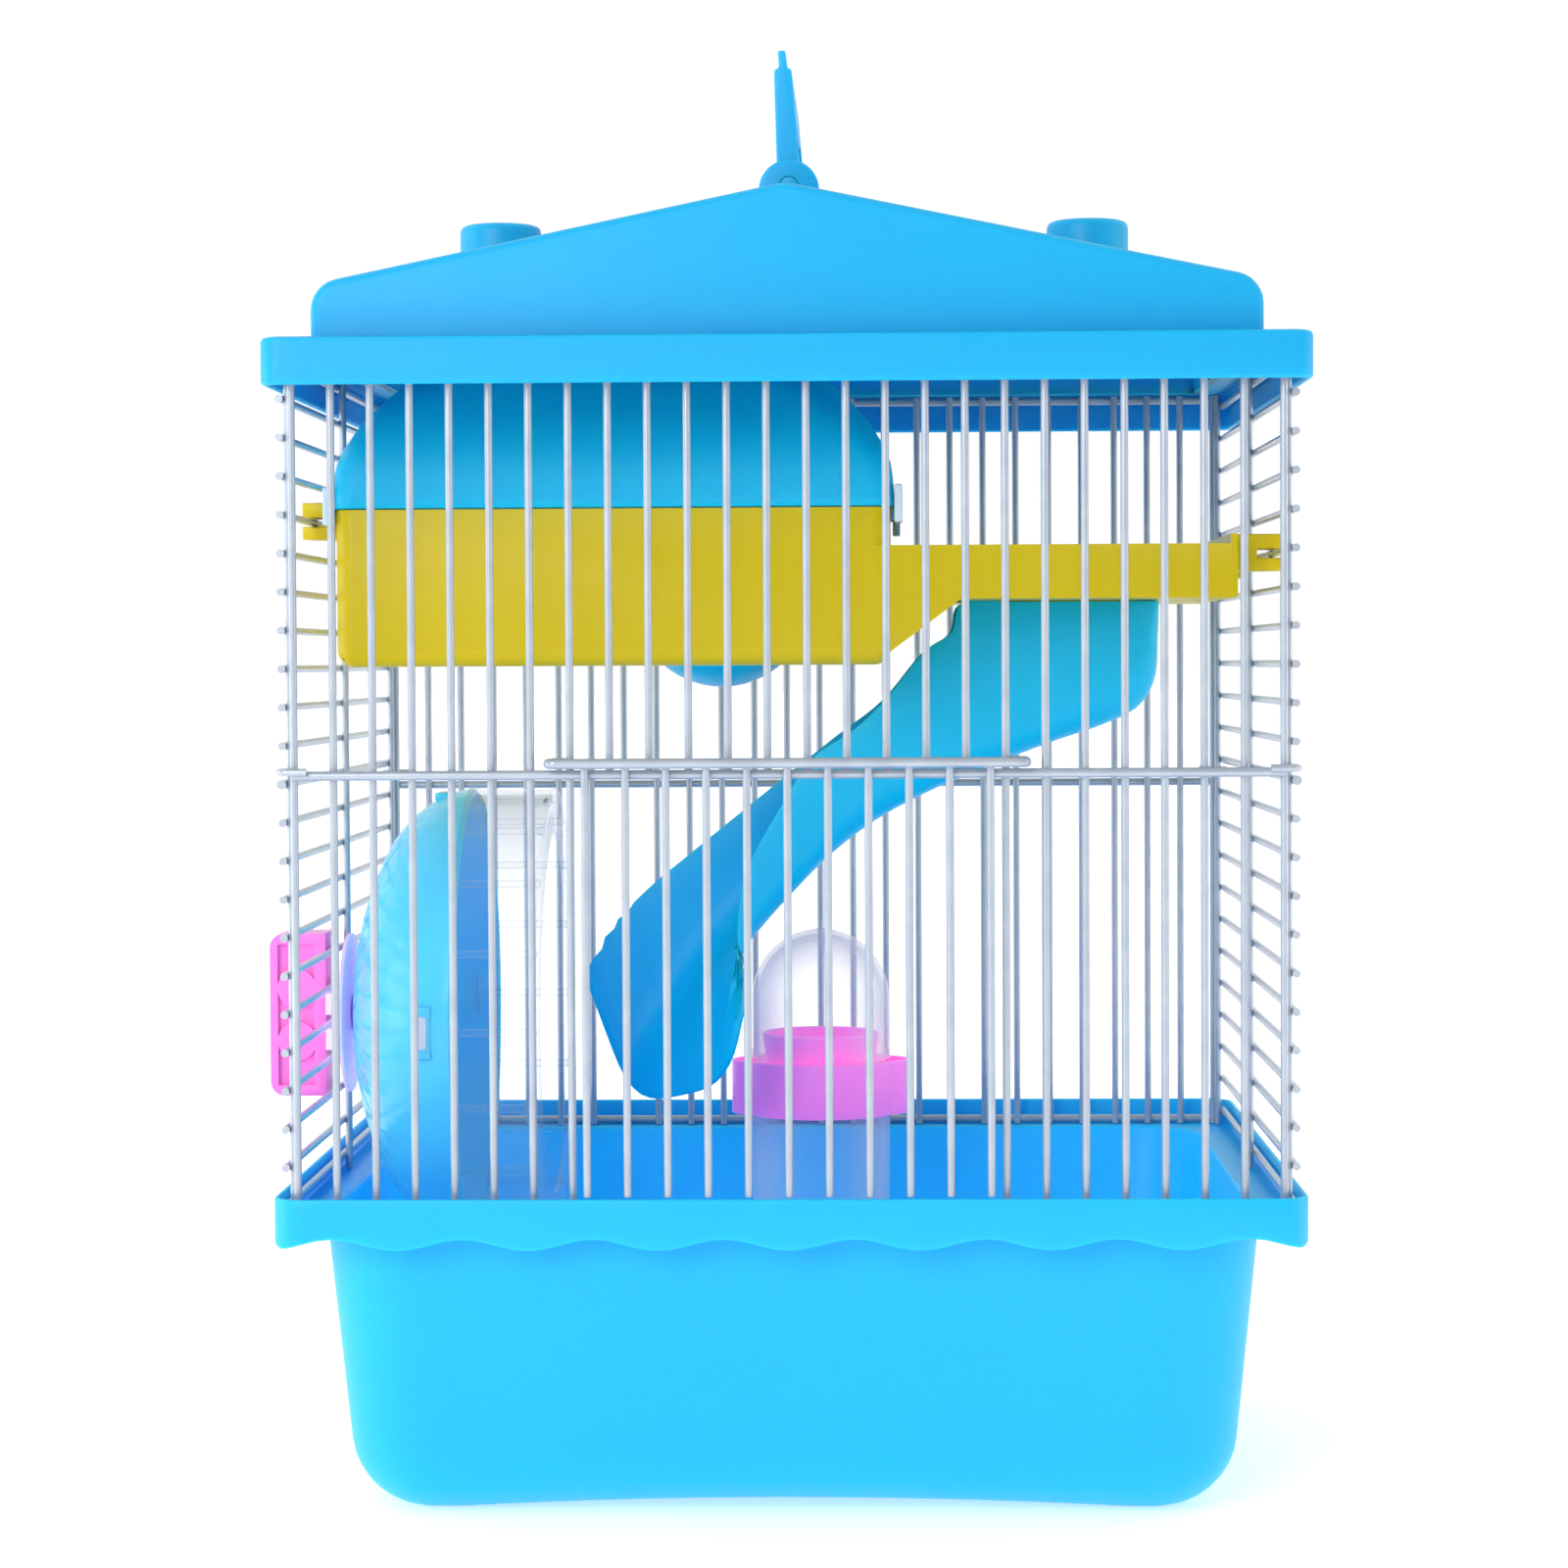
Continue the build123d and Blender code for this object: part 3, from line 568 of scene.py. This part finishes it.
# inset from the end walls, inset from the long walls, height, corner radius
lid_outside = [
    (0.0, 0.0, lid_low, 6.0), (0.0, 0.0, 263.0, 6.0), (0.3, 0.3, 268.5, 6.2), (0.9, 0.8, 272.5, 7.0),
    (2.6, 1.8, 277.0, 8.5), (6.3, 4.0, 283.2, 11.0), (10.3, 6.6, 288.2, 13.5), (14.4, 9.4, 292.6, 16.0),
    (18.6, 12.6, 296.6, 17.5), (23.4, 16.4, 300.0, 19.0),
    (28.6, 21.0, 301.9, 20.0), (35.0, 27.0, 302.5, 20.0),
]
lid_bm = bmesh.new()
lid_rings = [
    rounded_loop(lid_bm, lid_x - end, lid_y - side, corner, z, lid_middle, across=24, along=20)
    for end, side, z, corner in lid_outside
]
skin_loops(lid_bm, lid_rings)
cap_loop(lid_bm, lid_rings[-1])
lid = finish_mesh("loft_cover", lid_bm, crease=40)
lid_wall = lid.modifiers.new("wall", "SOLIDIFY")
lid_wall.thickness = wall * MM
lid_wall.offset = -1
fitted(lid, "lid", "loft_lid", "deep_blue_plastic", deep_blue)

tab_plastic = moulded("natural_polypropylene", "#DCE9F2", "#C9DBE8", roughness=0.22, glow=0.4)
fitted(softened("lid_clasps", "snap_tabs", 0.5), "lid", "lid_clasps", "clasp_plastic", tab_plastic)


# ---- Food bowl -------------------------------------------------------------------------
# A round moulded bowl that drops through the loft floor and hangs on its flange.

fitted(softened("food_bowl", "bowl_moulding", 0.3, angle=40), "bowl", "food_bowl",
       "deep_blue_plastic", deep_blue)


# ---- Slide -----------------------------------------------------------------------------
# One moulded trough: a bucket under the landing, a steep run that turns to the front and a
# flared mouth with three shallow grip rings.

slide_near = -27.0
slide_far = 17.0
# near top, near foot, far foot, far top: (x, z) down the slide, from the bucket to the mouth
slide_stations = [
    ((97.0, 236.0), (99.6, 235.9), (99.6, 235.9), (97.0, 236.0)),
    ((92.0, 236.0), (99.4, 226.0), (99.4, 226.0), (92.0, 236.0)),
    ((88.0, 236.0), (98.6, 215.0), (98.6, 215.0), (88.0, 236.0)),
    ((82.0, 236.0), (94.0, 207.2), (94.0, 207.2), (82.0, 236.0)),
    ((74.0, 236.0), (84.5, 202.4), (84.5, 202.4), (74.0, 236.0)),
    ((60.0, 236.0), (72.0, 198.2), (72.0, 198.2), (60.0, 236.0)),
    ((46.0, 236.0), (58.0, 193.0), (58.0, 193.0), (46.0, 236.0)),
    ((43.0, 227.8), (48.0, 188.8), (47.0, 188.8), (43.0, 227.8)),
    ((36.0, 223.0), (37.0, 184.0), (35.0, 184.0), (35.0, 222.0)),
    ((25.3, 210.1), (23.2, 176.4), (20.0, 176.4), (24.0, 209.0)),
    ((16.5, 201.6), (11.0, 167.0), (6.0, 166.5), (11.0, 199.0)),
    ((5.0, 193.5), (1.0, 156.6), (-7.0, 155.0), (-3.0, 188.0)),
    ((-4.0, 180.0), (-5.6, 149.4), (-17.0, 143.5), (-17.0, 176.8)),
    ((-12.6, 164.0), (-10.6, 143.0), (-27.0, 131.5), (-31.0, 165.5)),
    ((-15.5, 150.0), (-14.0, 134.5), (-35.0, 119.0), (-42.5, 156.0)),
    ((-15.0, 140.0), (-16.0, 121.0), (-42.0, 107.5), (-53.0, 145.0)),
    ((-12.8, 130.0), (-18.6, 105.0), (-46.5, 94.5), (-60.6, 131.5)),
]


def between(before, start, end, after, t):
    """Smooth step from start to end that keeps the neighbours' direction."""
    bend = 2 * before - 5 * start + 4 * end - after
    swing = 3 * (start - end) + after - before
    return start + 0.5 * t * (end - before + t * (bend + t * swing))


def trough_section(near_top, near_foot, far_foot, far_top, round_by):
    """Points across the trough: near wall, rounded foot, floor, rounded foot, far wall."""
    corners = [near_top, near_foot, far_foot, far_top]
    points = [near_top, near_top.lerp(near_foot, 0.3)]
    for n in (1, 2):
        before = corners[n - 1] - corners[n]
        after = corners[n + 1] - corners[n]
        start = corners[n] + before * min(round_by / max(before.length, 1e-6), 0.48)
        end = corners[n] + after * min(round_by / max(after.length, 1e-6), 0.48)
        for step in range(7):
            t = step / 6
            points.append(start.lerp(corners[n], t).lerp(corners[n].lerp(end, t), t))
        if n == 1:
            points.append(corners[1].lerp(corners[2], 0.5))
    points += [far_top.lerp(far_foot, 0.3), far_top]
    return points


grip_rings = (0.0, 0.9, 0.0, 0.9, 0.0, 0.9, 0.0, 0.0, -0.5)    # how far each row near the mouth steps in
slide_bm = bmesh.new()
fine = 5
rows = []
last = len(slide_stations) - 1
for station in range(last):
    around = [slide_stations[min(max(station + n, 0), last)] for n in (-1, 0, 1, 2)]
    for step in range(fine + (station == last - 1)):
        t = step / fine
        corners = []
        for corner, y in zip(range(4), (slide_near, slide_near, slide_far, slide_far)):
            x = between(*[stop[corner][0] for stop in around], t)
            z = between(*[stop[corner][1] for stop in around], t)
            corners.append(Vector((x, y, z)))
        rows.append(trough_section(*corners, 9.0 + 8.0 * (station + t) / last))
for n, row in enumerate(rows[-9:]):
    inward = grip_rings[n]
    centre = sum(row, Vector()) / len(row)
    for point in row:
        point += (centre - point).normalized() * inward
strips = []
for row in rows:
    verts = [slide_bm.verts.new(point * MM) for point in row]
    strips.append([slide_bm.edges.new(pair) for pair in zip(verts, verts[1:])])
for first, second in zip(strips, strips[1:]):
    bmesh.ops.bridge_loops(slide_bm, edges=first + second)
slide = finish_mesh("slide_moulding", slide_bm, crease=60)
slide_wall = slide.modifiers.new("wall", "SOLIDIFY")
slide_wall.thickness = 1.6 * MM
slide_wall.offset = -1
slide_edge = slide.modifiers.new("soft_edges", "BEVEL")
slide_edge.width = 0.5 * MM
slide_edge.segments = 2
slide_edge.limit_method = "ANGLE"
slide_edge.angle_limit = math.radians(50)
fitted(slide, "cage", "slide_chute", "deep_blue_plastic", deep_blue)


# ---- Exercise wheel ---------------------------------------------------------------------
# A bowl-shaped back moulded in translucent blue polystyrene with swirling stiffening ribs,
# and a clear drum with rungs and an end ring pressed on to it.

# Painted light: the wheel's blue glows a little, which lifts the shade on the wheel's back inside the cage.
wheel_blue = moulded("blue_polystyrene_painted_glow", "#58CEFF", "#54CAFF", roughness=0.2, glow=0.8, lit=0.08)


def clear_plastic(name, tint, cloudy=0.12, edge=0.6):
    """Clear polystyrene: nearly see-through face on, fuller at grazing angles, faint flow lines."""
    material, shader = new_material(name)
    place = add(material, "ShaderNodeTexCoord").outputs["Object"]
    flow = add(material, "ShaderNodeTexNoise", {"Scale": 1 / (18 * MM), "Detail": 3.0}, {"Vector": place})
    haze = add(material, "ShaderNodeMapRange",
               {"From Min": 0.3, "From Max": 0.7, "To Min": cloudy * 0.7, "To Max": cloudy * 1.3},
               {"Value": flow.outputs["Fac"]})
    facing = add(material, "ShaderNodeLayerWeight", {"Blend": 0.35})
    rim = add(material, "ShaderNodeMath", {1: edge}, {0: facing.outputs["Facing"]}, operation="MULTIPLY")
    cover = add(material, "ShaderNodeMath", links={0: rim.outputs["Value"], 1: haze.outputs["Result"]},
                operation="ADD")
    ripple = add(material, "ShaderNodeBump", {"Strength": 0.15, "Distance": 0.1 * MM},
                 {"Height": flow.outputs["Fac"]})
    tree = material.node_tree
    tree.links.new(cover.outputs["Value"], shader.inputs["Alpha"])
    tree.links.new(ripple.outputs["Normal"], shader.inputs["Normal"])
    shader.inputs["Base Color"].default_value = linear(tint)
    shader.inputs["Roughness"].default_value = 0.06
    shader.inputs["IOR"].default_value = 1.5
    shader.inputs["Specular IOR Level"].default_value = 0.28
    return material


wheel_centre = (0, -8.0, 123.2)
dish_line = [
    (-90.0, 62.2), (-95.5, 60.9), (-101.0, 58.2), (-106.0, 54.4), (-110.2, 49.4), (-113.6, 43.4),
    (-116.6, 36.2), (-118.8, 29.4), (-120.4, 22.6), (-121.8, 14.0),
]
dish_inside = [(x + 1.5 * (1 - n / 14), r - 1.5 * (1 - n / 12)) for n, (x, r) in enumerate(dish_line)]
hub = [(-121.8, 3.4), (-107.8, 3.4), (-107.8, 7.5), (-120.0, 7.9)]


def about_wheel(bm, outline, steps=96):
    """Spin an (x, radius) outline about the wheel's axle."""
    points = [(x, wheel_centre[1], wheel_centre[2] + r) for x, r in outline]
    turned(bm, points, wheel_centre, (1, 0, 0), steps)


dish_bm = bmesh.new()
dish_outline = dish_line + hub + dish_inside[::-1] + dish_line[:1]
about_wheel(dish_bm, dish_outline, 216)
for vert in dish_bm.verts:
    up = vert.co.z / MM - wheel_centre[2]
    across = vert.co.y / MM - wheel_centre[1]
    radius = math.hypot(up, across)
    if 16 < radius < 60 and vert.co.x / MM < -96:
        swirl = math.atan2(up, across) + 0.022 * radius
        rib = max(0, math.cos(18 * swirl)) ** 6
        vert.co.x += 0.9 * rib * MM
wheel_back = finish_mesh("wheel_back", dish_bm, crease=50)
fitted(wheel_back, "wheel", "wheel_dish", "wheel_blue_plastic", wheel_blue)


def round_wheel(bm, count, size, x, radius):
    """Equal blocks round the wheel's rim, the first one at its front."""
    for n in range(count):
        angle = math.pi + 2 * math.pi * n / count
        block = bmesh.ops.create_cube(bm, size=1.0)["verts"]
        bmesh.ops.scale(bm, verts=block, vec=Vector(size) * MM)
        bmesh.ops.rotate(bm, verts=block, cent=(0, 0, 0), matrix=Matrix.Rotation(angle, 3, "X"))
        out = Vector((0, math.cos(angle), math.sin(angle)))
        spot = Vector(wheel_centre) + Vector((x, 0, 0)) + out * radius
        bmesh.ops.translate(bm, verts=block, vec=spot * MM)


frame_bm = bmesh.new()
round_wheel(frame_bm, 4, (5.0, 2.4, 14.0), -97.0, 60.0)
latch_frames = finish_mesh("latch_frames", frame_bm)
latch_frames.modifiers.new("soft_edges", "BEVEL").width = 0.4 * MM
fitted(latch_frames, "wheel", None, "wheel_blue_plastic", wheel_blue)

clear = clear_plastic("clear_polystyrene", "#CCDCF4", cloudy=0.015, edge=0.4)
drum_bm = bmesh.new()
track = [
    (-90.0, 62.2), (-88.6, 62.2), (-88.2, 61.8), (-68.6, 61.8), (-68.0, 62.2), (-67.2, 62.2), (-66.7, 61.7),
    (-66.7, 50.8), (-67.1, 50.2), (-68.0, 50.2), (-68.4, 50.8), (-68.4, 60.4), (-90.0, 60.4), (-90.0, 62.2),
]
about_wheel(drum_bm, track)
rungs = 18
for n in range(rungs):
    angle = 2 * math.pi * n / rungs
    rung = bmesh.ops.create_cone(drum_bm, cap_ends=True, segments=10, radius1=1.1 * MM, radius2=1.1 * MM,
                                 depth=22.0 * MM)["verts"]
    bmesh.ops.rotate(drum_bm, verts=rung, cent=(0, 0, 0), matrix=Matrix.Rotation(math.pi / 2, 3, "Y"))
    middle = Vector((-79.0, wheel_centre[1] + 59.6 * math.cos(angle),
                     wheel_centre[2] + 59.6 * math.sin(angle)))
    bmesh.ops.translate(drum_bm, verts=rung, vec=middle * MM)
    knob = bmesh.ops.create_uvsphere(drum_bm, u_segments=10, v_segments=6, radius=1.3 * MM)["verts"]
    middle.x = -68.0
    bmesh.ops.translate(drum_bm, verts=knob, vec=middle * MM)
drum = finish_mesh("wheel_track", drum_bm)
fitted(drum, "wheel", "wheel_drum", "clear_plastic", clear)

latch_bm = bmesh.new()
round_wheel(latch_bm, 4, (2.6, 1.4, 8.6), -97.0, 60.8)
latches = finish_mesh("drum_latches", latch_bm)
latches.modifiers.new("soft_edges", "BEVEL").width = 0.3 * MM
fitted(latches, "wheel", None, "clear_plastic", clear_plastic("cloudy_polystyrene", "#ECECFA", cloudy=0.7))


# ---- Wheel mounting ----------------------------------------------------------------------
# Four small opaque mouldings: a flange inside the wires, a bar outside them, an axle stub and
# the cap that keeps the wheel on.

pink = moulded("pink_polypropylene", "#FF84DC", "#FC7CD8", roughness=0.3)
# Painted light: the collar's magenta and the flange's lilac are made pale and glow, which lifts the shade
# they sit in inside the cage.
magenta = moulded("magenta_polypropylene_painted_glow", "#FF8CE2", "#FF84DE", roughness=0.35, glow=0.7, lit=0.28)
lilac = moulded("lilac_polypropylene_painted_glow", "#E2C8FC", "#DCC0F8", roughness=0.3, glow=0.3, lit=0.3)
fitted(softened("wheel_clamp_outer", "clamp_bar", 0.6), "cage", "wheel_clamp_outer", "pink_plastic", pink)
fitted(softened("wheel_flange_inner", "flange_plate", 0.3, angle=50), "cage", "wheel_flange_inner",
       "lilac_plastic", lilac)
# Painted shade: the axle stub takes a darker plum copy of the magenta, which paints the shade it sits in.
plum_painted_shade = moulded("plum_polypropylene_painted_shade", "#B050D0", "#A444C4", roughness=0.3)
fitted(softened("wheel_axle", "axle_stub", 0.4, angle=50), "cage", "wheel_axle", "magenta_plastic", plum_painted_shade)
fitted(softened("wheel_axle_cap", "axle_cap", 0.3, angle=50), "cage", "wheel_axle_cap", "pink_plastic", pink)


# ---- Feeder ------------------------------------------------------------------------------
# A gravity feeder in three mouldings: a clear stand, a magenta collar with two pockets and a
# clear domed hopper that lifts off.

feeder = (6.0, 28.0)


def about_feeder(bm, outline, steps=64):
    """Spin a (radius, z) outline about the feeder's upright axis."""
    points = [(feeder[0] + r, feeder[1], z) for r, z in outline]
    turned(bm, points, (feeder[0], feeder[1], 0), (0, 0, 1), steps)


cup_bm = bmesh.new()
cup_line = [
    (0, 1.9), (17.6, 1.9), (18.8, 2.4), (19.1, 3.6), (19.9, 88.6), (20.0, 89.4), (20.0, 90.6), (19.6, 90.8),
    (18.9, 90.8), (18.6, 90.4), (17.8, 4.4), (17.2, 3.4), (0, 3.3),
]
about_feeder(cup_bm, cup_line)
thick_clear = clear_plastic("thick_clear_polystyrene", "#ECEEFA", cloudy=0.05, edge=0.6)
fitted(finish_mesh("feeder_stand", cup_bm), "base", "feeder_cup", "clear_plastic", thick_clear)

fitted(softened("feeder_collar", "feeder_ring", 0.5, angle=50), "base", "feeder_collar",
       "magenta_plastic", magenta)

funnel_bm = bmesh.new()
funnel_line = [
    (14.2, 103.0), (16.0, 108.0), (16.8, 113.2), (16.2, 113.8), (15.6, 113.2), (14.9, 108.2), (13.2, 103.2),
    (14.2, 103.0),
]
about_feeder(funnel_bm, funnel_line)
fitted(finish_mesh("feeder_funnel", funnel_bm), "base", None, "magenta_plastic", magenta)

dome_bm = bmesh.new()
dome_top = 143.4
dome_line = [(19.0, 106.4), (20.0, 106.4), (20.0, 108.6), (19.6, 109.2)]
dome_line += arc_points((0, dome_top - 19.6), 19.6, 0, 82, 14)
dome_line += [(2.6, dome_top), (1.2, dome_top), (0, dome_top - 0.3), (0, dome_top - 1.6)]
dome_line += arc_points((0, dome_top - 19.6), 18.3, 82, 0, 14) + [(18.3, 109.2), (18.6, 108.4), (19.0, 106.4)]
about_feeder(dome_bm, dome_line)
fitted(finish_mesh("feeder_hopper", dome_bm), "feeder_top", "feeder_dome", "clear_plastic", thick_clear)


# ---- Carry handle --------------------------------------------------------------------------
# A bail handle in the roof's blue polypropylene, with a thin rib along the grip. Its stubs
# snap into the two lugs.

# Painted shade: the handle shares the roof's darker copy of the blue.
fitted(softened("carry_handle", "bail_handle", 0.5, angle=40), "handle", "carry_handle",
       "blue_plastic", roof_blue_painted_shade)
